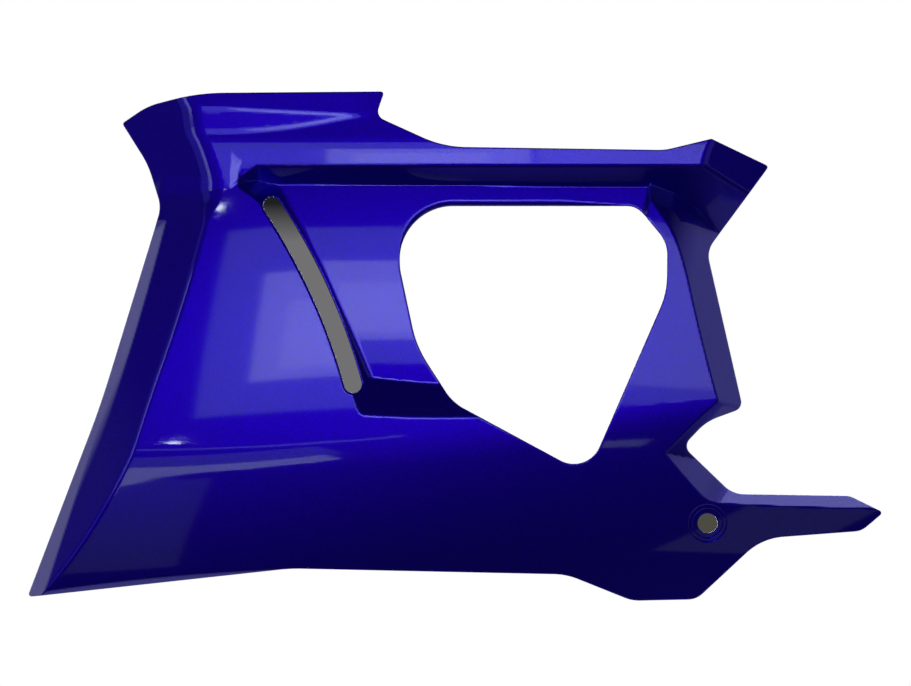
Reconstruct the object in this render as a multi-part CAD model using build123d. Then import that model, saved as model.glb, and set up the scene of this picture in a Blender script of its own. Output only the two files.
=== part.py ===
# Left-hand side panel of a small motorcycle fairing, one injection moulding in ABS.
# Millimetres. X runs rearward, Y runs inward to the middle of the motorcycle, Z runs up.
# The origin is the centre of the screw hole, at the outer end of the collar that holds the screw.
import os
from math import asin, cos, hypot, radians, sin, tan

from build123d import *

# Wall of the moulding
wall = 2.8

# Screw hole: a round collar behind a two-step sunk seat that follows the slope of the belly
hole_radius = 7.4
mouth_radius = 7.8
collar_length = 4.0
collar_wall = 2.6
seat_radius = 11.0
seat_sink = 3.5
seat_floor = 3.0
rim_radius = 14.0
rim_sink = 2.0
boss_wall = 2.6

# Main side: a barrel, curved in plan about an upright axis and curved in height
plan_radius = 1400.0
side_plan_centre = -150.0
side_crown = -51.3
side_crown_height = 164.0
side_height_radius = 700.0

# Belly below the belt: it turns inward about a plan centre farther forward, so the belt climbs to the rear
belly_plan_centre = -178.0
belt_height = 64.0
belly_angle = 16.0
belly_radius = 370.0

# Recessed panel in front of the window: its floor is a second barrel, deeper towards the front
floor_plan_centre = -105.0
floor_depth = 9.4
floor_crown_height = 175.0
floor_height_radius = 500.0

# Walls of the recess: the curved slot wall, the short upper wall, the two ends and the foot wall
slot_wall_centre = (-573.0, 11.0)
slot_wall_place = (-297.5, 170.5)
slot_wall_angle = 40.0
pocket_end_top = (-351.0, 270.0)
pocket_end_low = (-354.5, 240.0)
pocket_end_angle = 50.0
recess_end_low = (-104.0, 20.0)
recess_end_top = (-42.0, 250.0)
recess_end_angle = 60.0
upper_wall_front = (-353.0, 253.0)
upper_wall_rear = (-334.0, 240.5)
upper_wall_angle = 45.0
foot_wall_front = (-266.0, 82.0)
foot_wall_rear = (-172.0, 80.0)
foot_wall_angle = 25.0

# Rail along the top: flush with the side at the front, standing proud towards the rear
rail_plan_centre = -90.0
rail_proud = 2.3
rail_crown_height = 278.0
rail_face_radius = 90.0
rail_face_below = 10.0
rail_face_above = 12.0
rail_under_angle = 49.0
rail_under_run = 70.0
rail_top_angle = 9.0
rail_corner_radius = 5.0
rail_end_top = (2.5, 287.5)
rail_end_low = (-4.0, 268.0)
rail_end_angle = 35.0

# Tab above the rail, flaring outward a little
tab_plan_centre = -120.0
tab_sink = 6.9
tab_height = 311.0
tab_angle = 9.0

# Turned faces along the front edge
front_top = (-392.5, 319.0)
front_bend = (-370.0, 250.0)
front_low = (-414.5, 92.5)
front_foot_top = (-431.0, 55.0)
front_foot_low = (-492.0, -44.0)
front_angle = 42.0
lip_top = (-407.0, 227.0)
lip_low = (-491.0, -29.5)
lip_angle = 70.0
lip_end_rear = (-395.0, 228.0)
lip_end_front = (-425.0, 228.0)
lip_end_angle = 60.0

# Turned shoulder below the rail's end, and turned flanges along the rear and the front part of the bottom
shoulder_top = (-45.0, 246.5)
shoulder_low = (-23.5, 216.4)
shoulder_angle = 40.0
rear_flange_top = (-17.5, 196.0)
rear_flange_low = (5.5, 99.5)
heel_outer = (5.0, 89.5)
heel_inner = (-31.0, 58.0)
notch_top = (-31.0, 51.5)
notch_low = (-6.5, 23.0)
tail_root = (27.5, 14.0)
tail_end = (128.5, 11.0)
bottom_flange_rear = (-318.0, -34.5)
bottom_flange_front = (-508.0, -53.0)
flange_angle = 60.0

# Outline seen from the side: corners with their rounding radii
outline = [
    (-440.0, 300.5, 2), (-420.5, 313.5, 52), (-382.0, 323.0, 165), (-242.5, 324.0, 2),
    (-249.0, 305.5, 7), (-198.5, 282.5, 82), (-32.5, 280.0, 45), (2.5, 288.5, 2),
    (46.0, 268.0, 2), (-0.5, 204.5, 18), (26.5, 86.5, 7), (-1.0, 76.5, 38),
    (-18.5, 58.0, 7), (19.0, 22.0, 21), (107.0, 20.5, 14), (132.5, 8.0, 2),
    (116.0, -6.0, 15), (41.0, -11.5, 45), (-8.0, -57.5, 16), (-56.5, -58.5, 30),
    (-106.0, -38.5, 52), (-313.0, -34.0, 128), (-512.0, -56.0, 2), (-456.5, 88.0, 675),
    (-410.5, 237.5, 24), (-420.5, 269.5, 68),
]

# Window: a triangle with soft corners
window = [
    (-231.5, 238.0, 40), (-53.5, 238.0, 16), (-30.5, 210.5, 26), (-31.0, 173.0, 60),
    (-90.5, 36.5, 21), (-191.5, 91.0, 38), (-218.5, 133.0, 82), (-231.0, 191.5, 45),
]

# Vent slot through the slot wall, along an arc
slot_top = (-327.0, 238.5)
slot_middle = (-291.7, 175.1)
slot_bottom = (-266.2, 104.6)
slot_width = 13.2

# How far the working solids reach up and down, behind the skin and to each side
work_top = 345.0
work_low = -95.0
reach = 260.0
back_margin = 40.0
half_turn = 20.0


class Slope:
    """Flat face that falls inward on the left of its crest line, walking from start to finish."""

    def __init__(self, start, finish, fall):
        self.start = Vector(*start)
        self.along = (Vector(*finish) - self.start).normalized()
        level = Vector(-self.along.Z, 0, self.along.X).normalized()
        down = level * cos(radians(fall)) + Vector(0, sin(radians(fall)), 0)
        normal = self.along.cross(down).normalized()
        self.outward = normal if normal.Y < 0 else normal * -1

    def depth(self, place):
        """Depth of the face over a place in the side view."""
        run = (place[0] - self.start.X) * self.outward.X + (place[1] - self.start.Z) * self.outward.Z
        return self.start.Y - run / self.outward.Y

    def over(self, place):
        """Point of the face over a place in the side view."""
        return (place[0], self.depth(place), place[1])

    def behind(self, inset):
        """Everything behind the face, moved inward by the inset."""
        face = Plane(self.start - self.outward * inset, x_dir=self.along, z_dir=self.outward)
        return face * Box(4 * reach, 4 * reach, 4 * reach, align=(Align.CENTER, Align.CENTER, Align.MAX))


def arc_depth(crown, crown_height, radius, z):
    """Depth of an upright arc at a height."""
    return crown + radius - (radius**2 - (z - crown_height) ** 2) ** 0.5


def swung_depth(line_depth, plan_centre, x):
    """Depth at a distance along the panel of a skin whose depth at its plan centre is known."""
    swing = plan_radius + side_crown - line_depth
    return plan_radius + side_crown - (swing**2 - (x - plan_centre) ** 2) ** 0.5


def side_line(z):
    return arc_depth(side_crown, side_crown_height, side_height_radius, z)


def belly_line(z):
    crown = side_line(belt_height) - belly_radius * (1 - cos(radians(belly_angle)))
    return arc_depth(crown, belt_height + belly_radius * sin(radians(belly_angle)), belly_radius, z)


def floor_line(z):
    return arc_depth(side_crown + floor_depth, floor_crown_height, floor_height_radius, z)


def tab_line(z):
    return side_crown - rail_proud + tab_sink - (z - tab_height) * tan(radians(tab_angle))


def on_side(place):
    return (place[0], swung_depth(side_line(place[1]), side_plan_centre, place[0]), place[1])


def on_belly(place):
    return (place[0], swung_depth(belly_line(place[1]), belly_plan_centre, place[0]), place[1])


def on_tab(place):
    return (place[0], swung_depth(tab_line(place[1]), tab_plan_centre, place[0]), place[1])


def on_rail(place):
    return (place[0], swung_depth(side_crown - rail_proud, rail_plan_centre, place[0]), place[1])


def swung(flat, plan_centre, inset):
    """Shrink a filled upright section by the inset and swing it about its upright plan axis."""
    upright = Axis((plan_centre, plan_radius + side_crown, 0), (0, 0, 1))
    shrunk = Face(flat.outer_wire().offset_2d(-inset)) if inset else flat
    return revolve(shrunk.rotate(upright, -half_turn), upright, 2 * half_turn)


def back(inset):
    """Depth at which the working solids end; the inner ones run farther."""
    return reach + back_margin * inset


# Flat faces of the recess, the front edge and the rear edge
upper_wall = Slope(on_side(upper_wall_front), on_side(upper_wall_rear), upper_wall_angle)
pocket_end = Slope(on_side(pocket_end_top), on_side(pocket_end_low), pocket_end_angle)
recess_end = Slope(on_side(recess_end_low), on_side(recess_end_top), recess_end_angle)
foot_wall = Slope(on_side(foot_wall_front), on_side(foot_wall_rear), foot_wall_angle)
rail_end = Slope(on_rail(rail_end_top), on_rail(rail_end_low), rail_end_angle)
shoulder = Slope(on_side(shoulder_top), on_side(shoulder_low), shoulder_angle)
rear_flange = Slope(on_side(rear_flange_top), on_side(rear_flange_low), flange_angle)
heel = Slope(on_side(heel_outer), on_side(heel_inner), flange_angle)
notch_flange = Slope(on_belly(notch_top), on_belly(notch_low), flange_angle)
tail_flange = Slope(on_belly(tail_root), on_belly(tail_end), flange_angle)
bottom_flange = Slope(on_belly(bottom_flange_rear), on_belly(bottom_flange_front), flange_angle)
front_upper = Slope(on_side(front_bend), on_tab(front_top), front_angle)
front_lower = Slope(on_side(front_low), on_side(front_bend), front_angle)
front_foot = Slope(on_belly(front_foot_low), on_belly(front_foot_top), front_angle)
lip = Slope(front_lower.over(lip_low), front_lower.over(lip_top), lip_angle)
lip_end = Slope(front_lower.over(lip_end_rear), front_lower.over(lip_end_front), lip_end_angle)
lip_foot = Slope(front_foot.over(lip_low), front_foot.over(lip_top), lip_angle)


def slot_wall_behind(inset):
    """Everything behind the curved slot wall: a cone with its point out in front."""
    radius = hypot(slot_wall_place[0] - slot_wall_centre[0], slot_wall_place[1] - slot_wall_centre[1])
    rise = tan(radians(slot_wall_angle))
    point = on_side(slot_wall_place)[1] - radius * rise + inset / cos(radians(slot_wall_angle))
    base = Plane((slot_wall_centre[0], point, slot_wall_centre[1]), z_dir=(0, -1, 0))
    height = 4 * reach
    return base * Cone(height / rise, 0, height, align=(Align.CENTER, Align.CENTER, Align.MAX))


def side_body(inset):
    """Solid behind the main side."""
    x = side_plan_centre
    summit = (x, side_line(work_top), work_top)
    base = (x, side_line(work_low), work_low)
    crown_arc = ThreePointArc(summit, (x, side_crown, side_crown_height), base)
    closing = Polyline(base, (x, back(inset), work_low), (x, back(inset), work_top), summit)
    return swung(make_face(crown_arc + closing).face(), x, inset)


def belly_body(inset):
    """Solid behind the belly; above the belt its face leans outward, clear of the side."""
    x = belly_plan_centre
    belt = (x, belly_line(belt_height), belt_height)
    base = (x, belly_line(work_low), work_low)
    middle = (belt_height + work_low) / 2
    belly_arc = ThreePointArc(belt, (x, belly_line(middle), middle), base)
    closing = Polyline(
        base,
        (x, back(inset), work_low),
        (x, back(inset), work_top),
        (x, belt[1] - (work_top - belt_height) * tan(radians(belly_angle)), work_top),
        belt)
    return swung(make_face(belly_arc + closing).face(), x, inset)


def floor_body(inset):
    """Solid behind the floor of the recess."""
    x = floor_plan_centre
    summit = (x, floor_line(work_top), work_top)
    base = (x, floor_line(work_low), work_low)
    crown_arc = ThreePointArc(summit, (x, side_crown + floor_depth, floor_crown_height), base)
    closing = Polyline(base, (x, back(inset), work_low), (x, back(inset), work_top), summit)
    return swung(make_face(crown_arc + closing).face(), x, inset)


def rail_body(inset):
    """Rail with its softly crowned face, its underside and its cut-off rear end."""
    x = rail_plan_centre
    nose = side_crown - rail_proud
    low_height = rail_crown_height - rail_face_below
    top_height = rail_crown_height + rail_face_above
    low = (x, arc_depth(nose, rail_crown_height, rail_face_radius, low_height), low_height)
    top = (x, arc_depth(nose, rail_crown_height, rail_face_radius, top_height), top_height)
    face_arc = ThreePointArc(low, (x, nose, rail_crown_height), top)
    hidden_height = low_height - rail_under_run
    closing = Polyline(
        top,
        (x, top[1] + (work_top - top_height) * tan(radians(rail_top_angle)), work_top),
        (x, back(inset), work_top),
        (x, back(inset), hidden_height),
        (x, low[1] + rail_under_run * tan(radians(rail_under_angle)), hidden_height),
        low)
    flat = make_face(face_arc + closing).face()
    corner = flat.vertices().sort_by_distance(low)[0]
    body = swung(flat.fillet_2d(rail_corner_radius, [corner]), x, inset)
    return body & rail_end.behind(inset)


def tab_body(inset):
    """Tab above the rail; its lower end lies hidden inside the rail."""
    x = tab_plan_centre
    path = Polyline((x, tab_line(work_top), work_top), (x, tab_line(rail_crown_height), rail_crown_height),
                    (x, back(inset), rail_crown_height), (x, back(inset), work_top), close=True)
    return swung(make_face(path).face(), x, inset)


def skin(inset):
    """Solid behind the whole outer skin, moved inward by the inset."""
    recess = floor_body(inset) + foot_wall.behind(inset)
    recess = recess + (slot_wall_behind(inset) & upper_wall.behind(inset))
    recess = recess + pocket_end.behind(inset) + recess_end.behind(inset)
    rear = rear_flange.behind(inset) & heel.behind(inset) & shoulder.behind(inset)
    rear = rear + notch_flange.behind(inset) + tail_flange.behind(inset)
    body = (side_body(inset) & belly_body(inset) & recess & rear) + rail_body(inset) + tab_body(inset)
    front = front_lower.behind(inset) & (lip.behind(inset) + lip_end.behind(inset))
    front = front & front_foot.behind(inset) & lip_foot.behind(inset)
    front = front + front_upper.behind(inset)
    behind_flange = Pos(bottom_flange_rear[0], 0, 0) * Box(
        4 * reach, 4 * reach, 4 * reach, align=(Align.MIN, Align.CENTER, Align.CENTER))
    return body & front & (bottom_flange.behind(inset) + behind_flange)


def side_prism(corners):
    """Outline in the side view, filled and run through the whole depth."""
    points = [(x, z) for x, z, radius in corners]
    path = FilletPolyline(*points, radius=[radius for x, z, radius in corners], close=True)
    return extrude(Plane.XZ * make_face(path), reach, both=True)


def bar(radius, depth):
    """Round bar along the screw's axis, running outward from a depth."""
    return extrude(Plane.XZ.offset(-depth) * Circle(radius), reach)


def before_seat(sink):
    """Everything in front of a flat face that lies parallel to the belly, sunk below its skin."""
    swing = plan_radius + side_crown - belly_line(0)
    chord = (swing**2 - belly_plan_centre**2) ** 0.5
    rise = tan(asin(sin(radians(belly_angle)) + belt_height / belly_radius))
    outward = (-belly_plan_centre / chord, -1, -rise * swing / chord)
    face = Plane((0, on_belly((0, 0))[1] + sink, 0), z_dir=outward)
    return face * Box(reach, reach, reach, align=(Align.CENTER, Align.CENTER, Align.MIN))


outer = skin(0)
panel = (outer - skin(wall)) & side_prism(outline)
slot_line = ThreePointArc(slot_top, slot_middle, slot_bottom)
slot = extrude(Plane.XZ * SlotArc(slot_line, slot_width), reach, both=True)
panel = panel - side_prism(window) - slot
boss = bar(rim_radius + boss_wall, reach / 2) & before_seat(seat_sink + seat_floor)
collar = bar(hole_radius + collar_wall, collar_length)
rim = bar(rim_radius, reach / 2) & before_seat(rim_sink)
seat = bar(seat_radius, reach / 2) & before_seat(seat_sink)
panel = panel + ((boss + collar) & outer) - rim - seat
panel = panel - bar(mouth_radius, 0) - bar(hole_radius, reach / 2)
os.makedirs("parts", exist_ok=True)
panel.label = "side_panel"
export_step(panel, "parts/side_panel.step")
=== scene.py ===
from math import cos, hypot, pi, radians, sin, tan

import bpy
import numpy as np
from mathutils import Matrix
from mathutils.geometry import delaunay_2d_cdt


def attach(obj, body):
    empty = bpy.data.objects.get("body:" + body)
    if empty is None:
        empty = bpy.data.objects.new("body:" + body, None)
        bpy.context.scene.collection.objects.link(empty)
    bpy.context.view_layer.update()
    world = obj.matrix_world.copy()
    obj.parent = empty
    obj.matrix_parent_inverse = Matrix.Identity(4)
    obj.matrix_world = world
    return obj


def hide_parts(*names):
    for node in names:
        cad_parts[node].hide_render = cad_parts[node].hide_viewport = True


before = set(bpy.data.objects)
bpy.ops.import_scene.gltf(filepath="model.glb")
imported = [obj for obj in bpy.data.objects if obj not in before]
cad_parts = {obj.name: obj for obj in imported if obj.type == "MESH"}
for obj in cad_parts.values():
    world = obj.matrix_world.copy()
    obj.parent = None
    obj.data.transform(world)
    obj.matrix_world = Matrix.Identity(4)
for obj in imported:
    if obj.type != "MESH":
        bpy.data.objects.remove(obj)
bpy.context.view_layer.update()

# SIDE PANEL
# The whole object: one thin injection moulding in ABS, sprayed deep metallic blue outside under a
# clear coat and left as dark bare plastic inside. One collared screw holds it by the sunk seat.
# Lengths in this section are millimetres, with the origin in the screw hole, as in the solid.

# Wall, and the screw seat with its boss and collar
wall = 2.8
hole_radius = 7.4
seat_radius = 11.0
rim_radius = 14.0
rim_sink = 2.0
seat_sink = 3.5
boss_radius = 16.6
collar_radius = 10.0
collar_length = 4.0
cup_draft = 6.0

# Crowned side, and the belly that turns in below the belt
plan_radius = 1400.0
side_plan_centre = -150.0
side_crown = -51.3
side_crown_height = 164.0
side_height_radius = 700.0
side_twist = 3.6e-7
belt_height = 58.0
belt_soft = 1.7
belly_plan_centre = -135.0
belly_slant = 0.1
slant_place = -178.0
belly_angle = 16.0
belly_radius = 370.0
belly_lean_factor = 1.1

# Recess of the vent slot: its floor, its walls and its ends
floor_plan_centre = -105.0
floor_depth = 9.4
floor_crown_height = 175.0
floor_height_radius = 500.0
floor_soft = 3.0
foot_soft = 0.6
slot_wall_centre = (-573.0, 11.0)
slot_wall_place = (-297.5, 170.5)
slot_wall_angle = 40.0
upper_wall_front = (-353.0, 253.0)
upper_wall_rear = (-334.0, 240.5)
upper_wall_angle = 45.0
foot_wall_front = (-266.0, 82.0)
foot_wall_rear = (-172.0, 80.0)
foot_wall_angle = 25.0
pocket_end_top = (-351.0, 270.0)
pocket_end_low = (-354.5, 240.0)
pocket_end_angle = 50.0
pocket_end_soft = 4.0
recess_end_top = (-42.0, 250.0)
recess_end_low = (-104.0, 20.0)
recess_end_angle = 60.0
recess_lip_soft = 0.7

# Rail above the window, which runs softly into the column at its front
rail_plan_centre = -90.0
rail_straight = -290.0
rail_proud = 2.3
rail_crown_height = 278.0
rail_face_radius = 90.0
rail_face_low = 268.0
rail_face_top = 290.0
rail_under_angle = 49.0
rail_top_angle = 9.0
rail_corner_soft = 1.6
rail_foot_soft = 0.6
column_soft = 6.0
column_front = -358.0
column_rear = -338.0
column_lift = 14.0
rail_end_top = (2.5, 287.5)
rail_end_low = (-4.0, 268.0)
rail_end_angle = 35.0
rail_end_soft = 2.5

# Tab above the rail, with its crest
tab_plan_centre = -169.0
tab_sink = 10.0
tab_height = 311.0
tab_angle = 8.0
tab_soft = 0.9
tab_crest_front = (-365.0, 311.6)
tab_crest_rear = (-258.0, 306.3)
tab_top_angle = 8.0
tab_crest_soft = 0.6

# Front flange, and the lip turned from its edge
front_top = (-392.5, 319.0)
front_bend = (-370.0, 250.0)
front_line = ((-371.0, 250.0), (-400.5, 145.1), (-447.0, 25.1))
front_foot_top = (-431.0, 55.0)
front_foot_low = (-492.0, -44.0)
front_foot_soft = 5.0
front_angle = 42.0
front_soft_low = 2.0
front_soft_top = 6.5
front_bend_soft = 6.0
lip_top = (-407.0, 227.0)
lip_low = (-491.0, -29.5)
lip_line = ((-406.8, 226.9), (-448.1, 85.9), (-490.8, -29.6))
lip_angle = 70.0
lip_end_rear = (-395.0, 228.0)
lip_end_front = (-425.0, 228.0)
lip_end_angle = 60.0
lip_end_soft = 4.0

# Flanges of the rear edge, the notch, the tail and the bottom
shoulder_top = (-45.0, 246.5)
shoulder_low = (-23.5, 216.4)
shoulder_angle = 40.0
shoulder_soft = 14.0
rear_flange_top = (-17.5, 196.0)
rear_flange_low = (5.5, 99.5)
heel_outer = (5.0, 89.5)
heel_inner = (-31.0, 58.0)
notch_top = (-31.0, 51.5)
notch_low = (-6.5, 23.0)
notch_soft = 14.0
tail_root = (27.5, 14.0)
tail_end = (128.5, 11.0)
bottom_flange_rear = (-318.0, -34.5)
bottom_flange_front = (-508.0, -53.0)
flange_angle = 60.0
flange_soft = 0.9

# Outline and window, walked clockwise, with the radius of each corner, and the slot
outline = [
    (-440.0, 300.5, 2), (-420.5, 313.5, 52), (-382.0, 323.0, 165), (-242.5, 324.0, 2),
    (-249.0, 305.5, 7), (-198.5, 282.5, 82), (-32.5, 280.0, 45), (2.5, 288.5, 2),
    (46.0, 268.0, 2), (-0.5, 204.5, 18), (26.5, 86.5, 7), (-1.0, 76.5, 38),
    (-18.5, 58.0, 7), (19.0, 22.0, 21), (107.0, 20.5, 14), (132.5, 8.0, 2),
    (116.0, -6.0, 15), (41.0, -11.5, 45), (-8.0, -57.5, 16), (-56.5, -58.5, 30),
    (-106.0, -38.5, 52), (-313.0, -34.0, 128), (-512.0, -56.0, 2), (-456.5, 88.0, 675),
    (-410.5, 237.5, 24), (-420.5, 269.5, 68),
]
window = [
    (-231.5, 238.0, 40), (-53.5, 238.0, 16), (-30.5, 210.5, 26), (-31.0, 173.0, 60),
    (-90.5, 36.5, 21), (-191.5, 91.0, 38), (-218.5, 133.0, 82), (-231.0, 191.5, 45),
]
slot_top = (-327.0, 238.5)
slot_middle = (-291.7, 175.1)
slot_bottom = (-266.2, 104.6)
slot_width = 13.2

# Rolls of the edges; the window's is wide along its top and fades out towards the rear
edge_roll = 0.8
slot_roll = 2.0
window_roll = 5.0
window_break = 1.2
least_roll = 0.01
roll_low = 205.0
roll_high = 230.0
roll_rear = -110.0
roll_end = -62.0

# Steps of the mesh, which is finer where the skin bends
fine_step = 1.2
middle_step = 2.4
coarse_step = 4.8
edge_step = 1.6
dense_step = 0.3
hole_points = 64
grid_x_ends = (-515, 136)
grid_z_ends = (-60, 327)
sharp_bend = 0.045
slight_bend = 0.008
row_clearance = 0.5
merge_distance = 1e-4
sliver_area = 0.001


def soft_max(a, b, width):
    """The deeper of two depths, with the crease between them rounded."""
    near = np.maximum(width - np.abs(a - b), 0) / width
    return np.maximum(a, b) + near**2 * width / 4


def soft_min(a, b, width):
    """The shallower of two depths, with the corner between them rounded."""
    return -soft_max(-a, -b, width)


def ramp(x, start, finish, first, last):
    """A value that goes evenly from its first to its last size between two places."""
    return first + (last - first) * np.clip((x - start) / (finish - start), 0, 1)


def swung(line, plan_centre, x):
    """Depth of an upright line that is swung about an upright plan axis."""
    return line + (x - plan_centre) ** 2 / (2 * (plan_radius + side_crown - line))


def barrel(crown, plan_centre, crown_height, height_radius, x, z):
    """Depth of a skin that is curved in height and swung about its plan axis."""
    return swung(crown + (z - crown_height) ** 2 / (2 * height_radius), plan_centre, x)


def side_depth(x, z, inset=0.0):
    """Depth of the main side, whose plan curve tightens a little with height."""
    twist = side_twist * (z - side_crown_height) * (x - side_plan_centre) ** 2
    return barrel(side_crown + inset, side_plan_centre, side_crown_height, side_height_radius, x, z) + twist


def belly_depth(x, z, inset=0.0):
    """Depth of the belly, which turns inward below the belt and keeps clear of the side above it."""
    line = side_crown + (belt_height - side_crown_height) ** 2 / (2 * side_height_radius)
    z = z - belly_slant * (x - slant_place)
    fall = sin(radians(belly_angle)) + np.maximum(belt_height - z, 0) / belly_radius
    line = line + belly_radius * (cos(radians(belly_angle)) - np.sqrt(1 - fall**2))
    line = line - np.maximum(z - belt_height, 0) * tan(radians(belly_angle))
    return swung(line, belly_plan_centre, x) + inset * belly_lean_factor


def rail_swung(line, x):
    """The rail's plan curve, which runs straight at its front end."""
    bent = np.maximum(x, rail_straight)
    lead = (x - bent) * (rail_straight - rail_plan_centre) / plan_radius
    return swung(line, rail_plan_centre, bent) + lead


def rail_crest(x, z):
    """Depth of the rail's crown, the same at every height."""
    return swung(side_crown - rail_proud, rail_plan_centre, x)


def tab_depth(x, z, inset=0.0):
    """Depth of the tab, which leans out above the rail up to a crest and leans back above it."""
    line = side_crown - rail_proud + tab_sink - (z - tab_height) * tan(radians(tab_angle))
    leaning = swung(line + inset, tab_plan_centre, x)
    crest = ramp(x, tab_crest_front[0], tab_crest_rear[0], tab_crest_front[1], tab_crest_rear[1])
    turn = tan(radians(tab_angle)) + tan(radians(tab_top_angle))
    return soft_max(leaning, leaning + (z - crest) * turn, tab_crest_soft)


def turned_face(x, z, line, root_depth, fall, inset):
    """Face that falls inward in front of a bowed line, which lies on another skin."""
    (top_x, top_z), (middle_x, middle_z), (low_x, low_z) = line
    lean = (middle_x - top_x) / (middle_z - top_z)
    bow = ((low_x - middle_x) / (low_z - middle_z) - lean) / (low_z - top_z)
    root = top_x + lean * (z - top_z) + bow * (z - top_z) * (z - middle_z)
    away = (root - x) / hypot(1, (top_x - low_x) / (top_z - low_z))
    return root_depth(root, z) + away * tan(radians(fall)) + inset / cos(radians(fall))


def front_face(x, z, inset=0.0):
    """The front flange, turned inward from the side along the panel's front crease."""
    return turned_face(x, z, front_line, side_depth, front_angle, inset)


class Slope:
    """Flat face that falls inward on the left of its crest line, walking from start to finish on a skin."""

    def __init__(self, base, start, finish, fall, finish_base=None):
        finish_base = finish_base or base
        self.start = np.array((start[0], base(*start), start[1]))
        along = np.array((finish[0], finish_base(*finish), finish[1])) - self.start
        along = along / np.linalg.norm(along)
        level = np.array([-along[2], 0, along[0]])
        level = level / np.linalg.norm(level)
        down = level * cos(radians(fall)) + np.array([0, sin(radians(fall)), 0])
        normal = np.cross(along, down)
        self.outward = -normal * np.sign(normal[1]) / np.linalg.norm(normal)

    def depth(self, x, z, inset=0.0):
        run = (x - self.start[0]) * self.outward[0] + (z - self.start[2]) * self.outward[2]
        return self.start[1] - (run + inset) / self.outward[1]


upper_wall = Slope(side_depth, upper_wall_front, upper_wall_rear, upper_wall_angle)
foot_wall = Slope(side_depth, foot_wall_front, foot_wall_rear, foot_wall_angle)
pocket_end = Slope(side_depth, pocket_end_top, pocket_end_low, pocket_end_angle)
recess_end = Slope(side_depth, recess_end_low, recess_end_top, recess_end_angle)
rail_end = Slope(rail_crest, rail_end_top, rail_end_low, rail_end_angle)
shoulder = Slope(side_depth, shoulder_top, shoulder_low, shoulder_angle)
rear_flange = Slope(side_depth, rear_flange_top, rear_flange_low, flange_angle)
heel = Slope(side_depth, heel_outer, heel_inner, flange_angle)
notch_flange = Slope(belly_depth, notch_top, notch_low, flange_angle)
tail_flange = Slope(belly_depth, tail_root, tail_end, flange_angle)
bottom_flange = Slope(belly_depth, bottom_flange_rear, bottom_flange_front, flange_angle)
front_upper = Slope(side_depth, front_bend, front_top, front_angle, tab_depth)
front_foot = Slope(belly_depth, front_foot_low, front_foot_top, front_angle)
lip_foot = Slope(front_foot.depth, lip_low, lip_top, lip_angle)
lip_end = Slope(front_face, lip_end_rear, lip_end_front, lip_end_angle)


def slot_wall(x, z, inset):
    """Curved wall of the recess: a cone with its point out in front."""
    rise = tan(radians(slot_wall_angle))
    crest = hypot(slot_wall_place[0] - slot_wall_centre[0], slot_wall_place[1] - slot_wall_centre[1])
    out = np.hypot(x - slot_wall_centre[0], z - slot_wall_centre[1]) - crest
    return side_depth(*slot_wall_place) + out * rise + inset / cos(radians(slot_wall_angle))


def skin(x, z, inset):
    """Depth of the outer skin, or of the inner one when the inset is the wall."""
    side = soft_max(side_depth(x, z, inset), belly_depth(x, z, inset), belt_soft)
    deep = barrel(side_crown + floor_depth + inset, floor_plan_centre, floor_crown_height,
                  floor_height_radius, x, z)
    deep = soft_min(deep, foot_wall.depth(x, z, inset), foot_soft)
    front_walls = soft_max(slot_wall(x, z, inset), upper_wall.depth(x, z, inset), floor_soft)
    front_walls = soft_min(front_walls, pocket_end.depth(x, z, inset), pocket_end_soft)
    deep = soft_min(deep, front_walls, floor_soft)
    deep = soft_min(deep, recess_end.depth(x, z, inset), foot_soft)
    body = soft_max(side, deep, recess_lip_soft)
    rear = soft_max(rear_flange.depth(x, z, inset), heel.depth(x, z, inset), floor_soft)
    rear = soft_max(rear, shoulder.depth(x, z, inset), shoulder_soft)
    notch = soft_min(notch_flange.depth(x, z, inset), tail_flange.depth(x, z, inset), notch_soft)
    body = soft_max(body, np.minimum(rear, notch), flange_soft)

    nose = side_crown - rail_proud + inset
    face = nose + (z - rail_crown_height) ** 2 / (2 * rail_face_radius)
    low_depth = (rail_face_low - rail_crown_height) ** 2 / (2 * rail_face_radius) - rail_proud + side_crown
    under = low_depth + (rail_face_low - z) * tan(radians(rail_under_angle))
    under = under + inset / cos(radians(rail_under_angle))
    under = under - ramp(x, column_front, column_rear, column_lift, 0)
    top_depth = (rail_face_top - rail_crown_height) ** 2 / (2 * rail_face_radius) + nose
    top = top_depth + (z - rail_face_top) * tan(radians(rail_top_angle))
    face = np.where(z > rail_face_top, top, face)
    rail = soft_max(rail_swung(face, x), rail_swung(under, x), rail_corner_soft)
    rail = soft_max(rail, rail_end.depth(x, z, inset), rail_end_soft)
    tab = tab_depth(x, z, inset)
    rail = soft_min(rail, np.where(z > rail_crown_height, tab, tab + plan_radius), tab_soft)
    body = soft_min(body, rail, ramp(x, column_front, column_rear, column_soft, rail_foot_soft))

    lip = turned_face(x, z, lip_line, front_face, lip_angle, inset)
    edge = soft_min(lip, lip_end.depth(x, z, inset), lip_end_soft)
    lower = soft_max(front_face(x, z, inset), edge, flange_soft)
    foot = soft_max(front_foot.depth(x, z, inset), lip_foot.depth(x, z, inset), flange_soft)
    front = soft_min(front_upper.depth(x, z, inset), soft_max(lower, foot, front_foot_soft), front_bend_soft)
    body = soft_max(body, front, ramp(z, lip_top[1], front_bend[1], front_soft_low, front_soft_top))
    low_edge = np.where(x < bottom_flange_rear[0], bottom_flange.depth(x, z, inset), -plan_radius)
    return soft_max(body, low_edge, flange_soft)


def outer_depth(x, z):
    """Outer skin with the sunk seat of the screw hole."""
    out = np.hypot(x, z)
    dish = belly_depth(x, z)
    rim = dish + rim_sink - cup_draft * np.maximum(out - rim_radius, 0)
    seat = dish + seat_sink - cup_draft * np.maximum(out - seat_radius, 0)
    return soft_max(skin(x, z, 0.0), soft_max(rim, seat, edge_roll), edge_roll)


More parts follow.
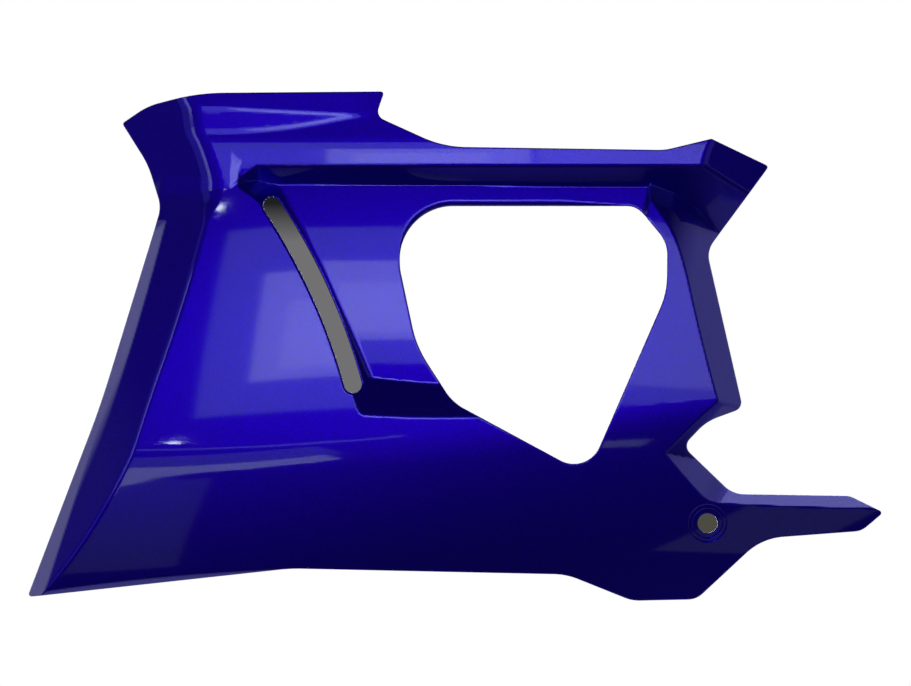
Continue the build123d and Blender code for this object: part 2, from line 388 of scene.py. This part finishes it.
def inner_depth(x, z):
    """Inner skin with the cup-shaped boss behind the screw seat and the collar in its middle."""
    out = np.hypot(x, z)
    boss = belly_depth(x, z, wall) + seat_sink - cup_draft * np.maximum(out - boss_radius, 0)
    boss = soft_max(boss, collar_length - cup_draft * np.maximum(out - collar_radius, 0), edge_roll)
    return soft_max(skin(x, z, wall), boss, edge_roll)


def rounded_loop(corners, step):
    """Points round a polygon with rounded corners, and their unit normals to the left of the walk."""
    points, normals = [], []
    count = len(corners)
    ends = []
    for i in range(count):
        before = np.array(corners[i - 1][:2])
        here = np.array(corners[i][:2])
        after = np.array(corners[(i + 1) % count][:2])
        a = (here - before) / np.linalg.norm(here - before)
        b = (after - here) / np.linalg.norm(after - here)
        turn = a[0] * b[1] - a[1] * b[0]
        half = np.arccos(np.clip(np.dot(a, b), -1, 1)) / 2
        ends.append((here, a, b, np.sign(turn), half, corners[i][2]))
    for i in range(count):
        here, a, b, sense, half, radius = ends[i]
        reach = radius * np.tan(half)
        left = np.array([-a[1], a[0]])
        centre = here - a * reach + left * sense * radius
        pieces = max(int(np.ceil(2 * half * radius / step)), 3)
        for k in range(pieces + 1):
            swing = sense * 2 * half * k / pieces
            normal = np.array([left[0] * cos(swing) - left[1] * sin(swing),
                               left[0] * sin(swing) + left[1] * cos(swing)])
            points.append(centre - normal * sense * radius)
            normals.append(normal)
        following = ends[(i + 1) % count]
        start = here + b * reach
        finish = following[0] - b * following[5] * np.tan(following[4])
        run = np.linalg.norm(finish - start)
        for k in range(1, int(run / step)):
            points.append(start + (finish - start) * k / int(run / step))
            normals.append(np.array([-b[1], b[0]]))
    return np.array(points), np.array(normals)


def slot_loop(step):
    """Points round the vent slot, and their unit normals out of it."""
    (ax, az), (bx, bz), (cx, cz) = slot_top, slot_middle, slot_bottom
    d = 2 * (ax * (bz - cz) + bx * (cz - az) + cx * (az - bz))
    a2, b2, c2 = ax**2 + az**2, bx**2 + bz**2, cx**2 + cz**2
    centre = np.array([(a2 * (bz - cz) + b2 * (cz - az) + c2 * (az - bz)) / d,
                       (a2 * (cx - bx) + b2 * (ax - cx) + c2 * (bx - ax)) / d])
    radius = np.linalg.norm(np.array(slot_top) - centre)
    start = np.arctan2(az - centre[1], ax - centre[0])
    finish = np.arctan2(cz - centre[1], cx - centre[0])
    pieces = int(radius * abs(finish - start) / step)
    caps = int(pi * slot_width / 2 / step) + 4
    points, normals = [], []
    for k in range(pieces + 1):
        t = start + (finish - start) * k / pieces
        normals.append((cos(t), sin(t)))
        points.append(centre + np.array(normals[-1]) * (radius + slot_width / 2))
    for k in range(1, caps):
        t = finish - pi * k / caps
        normals.append((cos(t), sin(t)))
        points.append(np.array(slot_bottom) + np.array(normals[-1]) * slot_width / 2)
    for k in range(pieces + 1):
        t = finish + (start - finish) * k / pieces
        normals.append((-cos(t), -sin(t)))
        points.append(centre - np.array(normals[-1]) * (radius - slot_width / 2))
    for k in range(1, caps):
        t = start + pi - pi * k / caps
        normals.append((cos(t), sin(t)))
        points.append(np.array(slot_top) + np.array(normals[-1]) * slot_width / 2)
    return np.array(points), np.array(normals)


def inside(loop, points):
    """True for the points that lie inside a closed loop."""
    result = np.zeros(len(points), bool)
    x, z = points[:, 0], points[:, 1]
    for a, b in zip(loop, np.roll(loop, -1, axis=0)):
        crosses = (a[1] > z) != (b[1] > z)
        if crosses.any():
            at = a[0] + (z[crosses] - a[1]) * (b[0] - a[0]) / (b[1] - a[1])
            result[crosses] ^= x[crosses] < at
    return result


def nearest(loop, points):
    """Distance of each point from the nearest point of a loop, worked out in batches."""
    batch = 64
    best = np.full(len(points), np.inf)
    for first in range(0, len(loop), batch):
        gap = points[:, None, :] - loop[None, first:first + batch, :]
        best = np.minimum(best, np.sqrt((gap**2).sum(2)).min(1))
    return best


# Each edge with its normals into the panel: those of the outline point out of it, as it is walked clockwise
outline_loop, outline_outward = rounded_loop(outline, edge_step)
hole_turns = np.linspace(0, 2 * pi, hole_points + 1)[:-1]
hole_outward = np.stack([np.cos(hole_turns), np.sin(hole_turns)], 1)
hole_edge = hole_outward * hole_radius
loops = [(outline_loop, -outline_outward), rounded_loop(window, edge_step), slot_loop(edge_step),
         (hole_edge, hole_outward)]


def panel_points(depth, steps, edge_rows):
    """Places for one skin: edge loops, rows beside them, and a grid that is finer on the creases."""
    fine, middle, coarse = steps
    xs = np.arange(*grid_x_ends, fine)
    zs = np.arange(*grid_z_ends, fine)
    grid_x, grid_z = np.meshgrid(xs, zs, indexing="ij")
    form = depth(grid_x, grid_z)
    bend = np.zeros_like(form)
    for axis in (0, 1):
        second = np.abs(np.diff(form, 2, axis=axis)) / fine**2
        pad = [(1, 1), (0, 0)] if axis == 0 else [(0, 0), (1, 1)]
        bend = np.maximum(bend, np.pad(second, pad))
    for shift in (1, -1):
        for axis in (0, 1):
            bend = np.maximum(bend, np.roll(bend, shift, axis=axis))
    stride_middle = int(round(middle / fine))
    stride_coarse = int(round(coarse / fine))
    index_x, index_z = np.meshgrid(np.arange(len(xs)), np.arange(len(zs)), indexing="ij")
    keep = bend > sharp_bend
    keep |= (bend > slight_bend) & (index_x % stride_middle == 0) & (index_z % stride_middle == 0)
    keep |= (index_x % stride_coarse == 0) & (index_z % stride_coarse == 0)
    inner = np.stack([grid_x[keep], grid_z[keep]], 1)
    inner = inner[inside(outline_loop, inner)]
    for loop, inward in loops[1:]:
        inner = inner[~inside(loop, inner)]
    rows = []
    for (loop, inward), offsets in zip(loops, edge_rows):
        clear = offsets[-1] + row_clearance * fine
        inner = inner[nearest(loop, inner) > clear]
        rows.extend(loop + inward * offset for offset in offsets)
    edges = []
    start = 0
    for loop, inward in loops:
        count = len(loop)
        edges.extend((start + k, start + (k + 1) % count) for k in range(count))
        start += count
    return np.concatenate([loop for loop, inward in loops] + rows + [inner]), edges


def triangles_between(points, edges, clockwise):
    """Delaunay triangles inside the outline and outside the openings, all walked one way from outside."""
    made = delaunay_2d_cdt([tuple(p) for p in points], edges, [], 0, merge_distance)
    flat = np.array([tuple(v) for v in made[0]])
    faces = np.array(made[2])
    a, b, c = flat[faces[:, 0]], flat[faces[:, 1]], flat[faces[:, 2]]
    area = ((b[:, 0] - a[:, 0]) * (c[:, 1] - a[:, 1]) - (b[:, 1] - a[:, 1]) * (c[:, 0] - a[:, 0])) / 2
    wrong = (area > 0) == clockwise
    faces[wrong] = faces[wrong][:, ::-1]
    middles = flat[faces].mean(1)
    keep = inside(outline_loop, middles) & (np.abs(area) > sliver_area)
    for loop, inward in loops[1:]:
        keep &= ~inside(loop, middles)
    return flat, faces[keep]


window_dense = rounded_loop(window, dense_step)[0]
broken_edges = [(rounded_loop(outline, dense_step)[0], edge_roll), (slot_loop(dense_step)[0], slot_roll),
                (hole_edge, edge_roll)]


def edge_gap(loop, points):
    """Distance from an edge, worked out only in the cells close to it and taken as large elsewhere."""
    cell, large = 10, 100.0
    gap = np.full(len(points), large)
    cells = {(a + dx, b + dz) for a, b in np.floor(loop / cell).astype(int)
             for dx in (-1, 0, 1) for dz in (-1, 0, 1)}
    close = np.array([(a, b) in cells for a, b in np.floor(points / cell).astype(int)])
    gap[close] = nearest(loop, points[close])
    return gap


def quarter_round(gap, roll):
    """Drop of an edge that is rounded over, by the distance from the edge."""
    near = np.clip(roll - gap, 0, roll)
    return roll - np.sqrt(np.maximum(roll**2 - near**2, 0))


def window_edge_roll(points):
    """Radius of the window's rolled edge: wide along the top, and only broken along the other sides."""
    top = ramp(points[:, 1], roll_low, roll_high, 0, 1) * ramp(points[:, 0], roll_rear, roll_end, 1, 0)
    return window_break + (window_roll - window_break) * top


def outer_skin(points):
    """Depth of the painted face, with the window's edge rolled inward and the other edges broken."""
    drop = quarter_round(edge_gap(window_dense, points), window_edge_roll(points))
    for loop, broken in broken_edges:
        drop = drop + quarter_round(edge_gap(loop, points), broken)
    return outer_depth(points[:, 0], points[:, 1]) + drop


def inner_skin(points):
    """Depth of the bare inner face; it meets the painted one at the window's rolled edge."""
    gap = edge_gap(window_dense, points)
    roll = np.maximum(window_edge_roll(points) - wall, least_roll)
    deep = inner_depth(points[:, 0], points[:, 1])
    return deep + np.where(gap < wall, roll, quarter_round(np.maximum(gap - wall, 0), roll))


def facing(skin_depth, points, sign):
    """Unit normals of a skin, from its slope."""
    reach = 0.04
    slope_x = skin_depth(points + [reach, 0]) - skin_depth(points - [reach, 0])
    slope_z = skin_depth(points + [0, reach]) - skin_depth(points - [0, reach])
    normal = np.stack([slope_x / (2 * reach), -np.ones(len(points)), slope_z / (2 * reach)], 1) * sign
    return normal / np.linalg.norm(normal, axis=1)[:, None]


# Rows of points beside the outline, the window, the slot and the screw hole, by their distance from the edge
outer_rows = [(0.12, 0.4, 0.85), (0.12, 0.45, 1.0, 1.8, 2.8, 3.9, 5.2), (0.12, 0.4, 0.85, 1.4, 2.05),
              (0.12, 0.4, 0.85, 2.2, 3.2, 3.55, 3.75, 4.4, 5.4, 6.2, 6.5, 6.8, 7.5)]
inner_rows = [(1.5,), (2.8, 3.6, 5.2), (1.5,), (1.4, 2.4, 2.8, 3.3, 4.0, 5.5, 8.8, 9.3, 10.2, 11.0)]
outer_places, loop_edges = panel_points(outer_depth, (fine_step, middle_step, coarse_step), outer_rows)
inner_places, loop_edges = panel_points(inner_depth, (middle_step, middle_step, 2 * coarse_step),
                                        inner_rows)
outer_flat, outer_faces = triangles_between(outer_places, loop_edges, False)
inner_flat, inner_faces = triangles_between(inner_places, loop_edges, True)
outer_y = outer_skin(outer_flat)
inner_y = inner_skin(inner_flat)
outer_normals = facing(outer_skin, outer_flat, 1.0)
inner_normals = facing(inner_skin, inner_flat, -1.0)

# The two skins, joined along every edge by a rim as thick as the wall
first_inner = len(outer_flat)
verts = np.concatenate([np.stack([outer_flat[:, 0], outer_y, outer_flat[:, 1]], 1),
                        np.stack([inner_flat[:, 0], inner_y, inner_flat[:, 1]], 1)]) / 1000
rim_faces = []
start = 0
for number, (loop, inward) in enumerate(loops):
    count = len(loop)
    area = np.sum(loop[:, 0] * np.roll(loop[:, 1], -1) - loop[:, 1] * np.roll(loop[:, 0], -1))
    opening = number > 0
    for k in range(count):
        a, b = start + k, start + (k + 1) % count
        quad = (a, b, first_inner + b, first_inner + a)
        rim_faces.append(quad if (area > 0) == opening else quad[::-1])
    start += count
faces = outer_faces.tolist() + (inner_faces + first_inner).tolist() + rim_faces
mesh = bpy.data.meshes.new("side_panel_skin")
mesh.from_pydata(verts.tolist(), [], faces)
panel = bpy.data.objects.new("side_panel_skin", mesh)
bpy.context.collection.objects.link(panel)
mesh.polygons.foreach_set("use_smooth", [True] * len(faces))

# Exact normals on the skins; a zero leaves a rim its own
corner_normals = np.concatenate([outer_normals[outer_faces.ravel()],
                                 inner_normals[inner_faces.ravel()],
                                 np.zeros((4 * len(rim_faces), 3))])
mesh.normals_split_custom_set(corner_normals.tolist())


class Socket:
    """One output of a node: sums on it add Math nodes, and node() adds any other node."""

    def __init__(self, tree, output):
        self.tree = tree
        self.output = output

    def fill(self, target, value):
        """Links an input to a socket, or sets its value."""
        if isinstance(value, Socket):
            self.tree.links.new(value.output, target)
        else:
            target.default_value = value

    def node(self, kind, settings, result, **sockets):
        """One output of a new node, with its settings set first and then its sockets filled."""
        made = self.tree.nodes.new(kind)
        for name, value in settings.items():
            setattr(made, name, value)
        for name, value in sockets.items():
            wanted = name.replace("_", " ")
            self.fill(next(s for s in made.inputs if s.enabled and s.name == wanted), value)
        return Socket(self.tree, made.outputs[result])

    def math(self, operation, first, second):
        made = self.tree.nodes.new("ShaderNodeMath")
        made.operation = operation
        self.fill(made.inputs[0], first)
        self.fill(made.inputs[1], second)
        return Socket(self.tree, made.outputs[0])

    def __add__(self, other):
        return self.math("ADD", self, other)

    def __radd__(self, other):
        return self.math("ADD", other, self)

    def __sub__(self, other):
        return self.math("SUBTRACT", self, other)

    def __rsub__(self, other):
        return self.math("SUBTRACT", other, self)

    def __mul__(self, other):
        return self.math("MULTIPLY", self, other)

    def __rmul__(self, other):
        return self.math("MULTIPLY", other, self)


def new_material(name, **values):
    """A material, its shader with the values given, and the place on the piece as a socket."""
    made = bpy.data.materials.new(name)
    made.use_nodes = True
    tree = made.node_tree
    shader = tree.nodes["Principled BSDF"]
    for socket, value in values.items():
        shader.inputs[socket.replace("_", " ")].default_value = value
    place = tree.nodes.new("ShaderNodeTexCoord")
    return made, shader, Socket(tree, place.outputs["Object"])


def feed(shader, name, socket):
    """Links a socket to one of a shader's inputs."""
    socket.tree.links.new(socket.output, shader.inputs[name])


# Lacquer: blue metal flakes, each in its own tone and at its own tilt, under the clear coat
flake_scale = 2200.0
flake_dark = (0.011, 0.0002, 0.36, 1)
flake_light = (0.019, 0.0003, 0.64, 1)
paint, paint_shader, paint_place = new_material(
    "metallic_blue_lacquer", Metallic=1.0, Roughness=0.45,
    Coat_Weight=1.0, Coat_Roughness=0.05, Coat_IOR=1.3)
flakes = paint_place.node("ShaderNodeTexVoronoi", {"feature": "F1"}, "Color",
                          Vector=paint_place, Scale=flake_scale)
flake_tone = flakes.node("ShaderNodeSeparateColor", {}, "Red", Color=flakes)
blue = flake_tone.node("ShaderNodeMix", {"data_type": "RGBA"}, "Result",
                       Factor=flake_tone, A=flake_dark, B=flake_light)
flake_tilt = flake_tone.node("ShaderNodeBump", {}, "Normal",
                             Strength=0.15, Distance=0.0004, Height=flake_tone)
feed(paint_shader, "Base Color", blue)
feed(paint_shader, "Normal", flake_tilt)

# Bare ABS: speckled dark plastic, with paint mist that reached round the edges
speckle_scale = 900.0
bare_dark = (0.04, 0.041, 0.044, 1)
bare_light = (0.085, 0.086, 0.09, 1)
bare_roughness = 0.45
speckle_roughness = 0.2
cloud_scale = 45.0
cloud_wander = 18
mist_blue = (0.02, 0.008, 0.19, 1)
mist_start = 8.0
mist_end = 24.0
mist_most = 0.8
edge_distance = np.zeros(len(verts), np.float32)
edge_distance[first_inner:] = np.min([nearest(loop, inner_flat) for loop, inward in loops], axis=0)
distances = mesh.attributes.new("edge_distance", "FLOAT", "POINT")
distances.data.foreach_set("value", edge_distance)
bare, bare_shader, bare_place = new_material("bare_abs")
speckle = bare_place.node("ShaderNodeTexNoise", {}, "Fac",
                          Vector=bare_place, Scale=speckle_scale, Detail=3.0)
plastic = speckle.node("ShaderNodeMix", {"data_type": "RGBA"}, "Result",
                       Factor=speckle, A=bare_dark, B=bare_light)
from_edge = bare_place.node("ShaderNodeAttribute", {"attribute_name": "edge_distance"}, "Fac")
cloud = bare_place.node("ShaderNodeTexNoise", {}, "Fac", Vector=bare_place, Scale=cloud_scale, Detail=4.0)
mist = cloud.node("ShaderNodeMapRange", {}, "Result", Value=from_edge + cloud * cloud_wander,
                  From_Min=mist_start, From_Max=mist_end, To_Min=mist_most, To_Max=0.0)
misted = mist.node("ShaderNodeMix", {"data_type": "RGBA"}, "Result", Factor=mist, A=plastic, B=mist_blue)
mould_grain = speckle.node("ShaderNodeBump", {}, "Normal", Strength=0.2, Distance=0.0005, Height=speckle)
feed(bare_shader, "Base Color", misted)
feed(bare_shader, "Roughness", bare_roughness + speckle * speckle_roughness)
feed(bare_shader, "Normal", mould_grain)

mesh.materials.append(paint)
mesh.materials.append(bare)
face_materials = [0] * len(outer_faces) + [1] * len(inner_faces) + [0] * len(rim_faces)
mesh.polygons.foreach_set("material_index", face_materials)
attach(panel, "root")
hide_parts("side_panel")

# STUDIO
# The panel hangs by its screw hole in white air, with a plain pale floor far below it. A wide soft box,
# low strips, side walls and two bulbs light it from the front, and two soft boxes light it from behind.
# Two small grey cards hang close behind the slot and the screw hole. They glow with painted shade in place
# of a shaded
# # backdrop seen through them, and the slot's card has a painted shadow, darker towards its top. Lengths
# from here on are metres.

panel_middle = (-0.19, -0.03, 0.14)
floor_height = -2.4
floor_size = 16
floor_white = (0.78, 0.78, 0.78, 1)
bpy.ops.object.select_all(action="DESELECT")
bpy.ops.mesh.primitive_plane_add(size=floor_size, location=(panel_middle[0], 0, floor_height))
floor = bpy.context.active_object
floor.name = "studio_floor"
floor_paint, floor_shader, floor_place = new_material(
    "pale_floor", Base_Color=(0.8, 0.8, 0.8, 1), Roughness=0.9, Emission_Strength=1.0)
seen = floor_place.node("ShaderNodeLightPath", {}, "Is Camera Ray")
floor_glow = seen.node("ShaderNodeMix", {"data_type": "RGBA"}, "Result",
                       Factor=seen, A=(0, 0, 0, 1), B=floor_white)
feed(floor_shader, "Emission Color", floor_glow)
floor.data.materials.append(floor_paint)
floor.visible_glossy = False

cards = [
    # name, place, size, lean in degrees, grey of the painted shade
    ("slot_painted_shade_card", (-0.2945, -0.012, 0.173), (0.034, 0.172), -24.5, (0.168, 0.164, 0.168, 1)),
    ("hole_painted_shade_card", (0.0, 0.010, 0.0), (0.018, 0.018), 0.0, (0.07, 0.07, 0.055, 1)),
]
# Painted shadow: above these heights the slot's card turns from its painted shade grey to this dark, darker
# towards its top
painted_shadow_dark = (0.013, 0.014, 0.017, 1)
dark_from = 0.211
dark_above = 0.240
for name, spot, size, lean, light in cards:
    bpy.ops.object.select_all(action="DESELECT")
    bpy.ops.mesh.primitive_plane_add(size=1, location=spot, rotation=(radians(90), radians(lean), 0))
    card = bpy.context.active_object
    card.name = name
    card.scale = (size[0], size[1], 1)
    bpy.ops.object.transform_apply(location=True, rotation=True, scale=True)
    # Painted shade: each card glows in its grey though it is no lamp, and only the camera sees it
    card_paint, card_shader, card_place = new_material(
        name, Base_Color=(0, 0, 0, 1), Specular_IOR_Level=0.0, Emission_Strength=1.0)
    rise = card_place.node("ShaderNodeSeparateXYZ", {}, "Z", Vector=card_place)
    dark = rise.node("ShaderNodeMapRange", {}, "Result", Value=rise, From_Min=dark_from, From_Max=dark_above)
    grey = dark.node("ShaderNodeMix", {"data_type": "RGBA"}, "Result", Factor=dark, A=light, B=painted_shadow_dark)
    feed(card_shader, "Emission Color", grey)
    feed(card_shader, "Alpha", 1 - card_place.node("ShaderNodeNewGeometry", {}, "Backfacing"))
    card.data.materials.append(card_paint)
    for ray in ("visible_diffuse", "visible_glossy", "visible_transmission", "visible_shadow"):
        setattr(card, ray, False)

# White air for the camera; gloss sees it grey behind the panel and dark in front, and it lights little
air_light = 0.04
gloss_front = 0.02
gloss_behind = 0.38
behind_from = -0.1
behind_full = 0.3
world = bpy.data.worlds.new("studio_air")
bpy.context.scene.world = world
world.use_nodes = True
look = world.node_tree.nodes.new("ShaderNodeTexCoord")
air = Socket(world.node_tree, look.outputs["Generated"])
behind = air.node("ShaderNodeSeparateXYZ", {}, "Y", Vector=air)
mirrored = behind.node("ShaderNodeMapRange", {}, "Result", Value=behind, From_Min=behind_from,
                       From_Max=behind_full, To_Min=gloss_front, To_Max=gloss_behind)
glossy = air.node("ShaderNodeLightPath", {}, "Is Glossy Ray")
unseen = glossy.node("ShaderNodeMix", {"data_type": "FLOAT"}, "Result",
                     Factor=glossy, A=air_light, B=mirrored)
direct = air.node("ShaderNodeLightPath", {}, "Is Camera Ray")
strength = direct.node("ShaderNodeMix", {"data_type": "FLOAT"}, "Result", Factor=direct, A=unseen, B=1.0)
background = world.node_tree.nodes["Background"]
background.inputs["Color"].default_value = (1, 1, 1, 1)
feed(background, "Strength", strength)

lamp_tint = (0.93, 0.98, 1.0)
lamps = [
    # name, degrees round from the front and up, roll, half width and height in degrees, away, radiance
    ("soft_box", -2.6, -0.3, 0.0, 18.2, 12.6, 4.0, 1.5),
    ("soft_box_middle", -10.0, -1.2, 0.0, 7.5, 7.2, 4.0, 4.0),
    ("soft_box_core", -10.5, -2.5, 0.0, 5.0, 4.5, 4.0, 1.6),
    ("soft_box_right", 7.0, 0.0, 0.0, 9.0, 10.0, 4.0, 1.6),
    ("low_strip", -21.5, -30.6, 17.0, 9.5, 1.4, 4.0, 3.8),
    ("low_strip_glow", -21.5, -26.6, 17.0, 9.5, 2.6, 4.0, 0.7),
    ("low_line", -16.0, -19.5, 5.0, 9.0, 0.5, 4.0, 1.4),
    ("low_strip_rear", 11.5, -35.5, -8.0, 3.0, 0.8, 4.0, 1.6),
    ("low_front", -32.3, -44.0, -19.0, 4.6, 11.0, 2.6, 0.38),
    ("low_rear", 43.0, -56.0, 0.0, 5.0, 7.5, 2.5, 0.42),
    ("low_end", 67.0, -20.0, 0.0, 6.0, 6.0, 4.0, 0.35),
    ("left_strip", -58.0, 0.0, 0.0, 4.0, 14.0, 4.0, 3.4),
    ("left_wall", -70.0, 0.0, 0.0, 8.0, 22.0, 4.0, 0.3),
    ("right_wall", 50.0, 0.0, 0.0, 12.0, 20.0, 4.0, 0.4),
    ("back_soft_box", 180.0, 14.0, 0.0, 25.0, 18.0, 4.0, 4.0),
    ("top_back", 180.0, 60.0, 0.0, 16.0, 10.0, 4.0, 1.0),
    ("upper_bulb", -22.3, 15.0, 0.0, 0.35, 0.35, 4.0, 70.0),
    ("lower_bulb", -22.3, -15.6, 0.0, 0.35, 0.35, 4.0, 70.0),
]
for name, round_from, up, roll, half_wide, half_high, away, radiance in lamps:
    lamp = bpy.data.lights.new(name, "AREA")
    lamp.shape = "RECTANGLE"
    lamp.size = 2 * away * tan(radians(half_wide))
    lamp.size_y = 2 * away * tan(radians(half_high))
    lamp.energy = radiance * pi * lamp.size * lamp.size_y
    lamp.color = lamp_tint
    lamp_object = bpy.data.objects.new(name, lamp)
    across = away * cos(radians(up))
    lamp_object.location = (panel_middle[0] + across * sin(radians(round_from)),
                            panel_middle[1] - across * cos(radians(round_from)),
                            panel_middle[2] + away * sin(radians(up)))
    turn = Matrix.Rotation(radians(round_from), 3, "Z") @ Matrix.Rotation(radians(90 - up), 3, "X")
    lamp_object.rotation_euler = (turn @ Matrix.Rotation(radians(roll), 3, "Z")).to_euler()
    lamp_object.visible_camera = False
    bpy.context.collection.objects.link(lamp_object)

# CAMERA
# A long lens looks square on to the painted face from far off, as in the photograph.
# The view is as wide as the picture, at 0.75 mm to the pixel.

camera_distance = 20.0
view_middle = (-0.1893, -0.03, 0.1354)
view_width = 0.68325
camera = bpy.data.cameras.new("camera")
camera.sensor_width = 36.0
camera.lens = camera.sensor_width * camera_distance / view_width
camera.clip_end = 100.0
camera_object = bpy.data.objects.new("camera", camera)
camera_object.location = (view_middle[0], view_middle[1] - camera_distance, view_middle[2])
camera_object.rotation_euler = (radians(90), 0, 0)
bpy.context.collection.objects.link(camera_object)
bpy.context.scene.camera = camera_object
bpy.context.scene.view_settings.view_transform = "Standard"
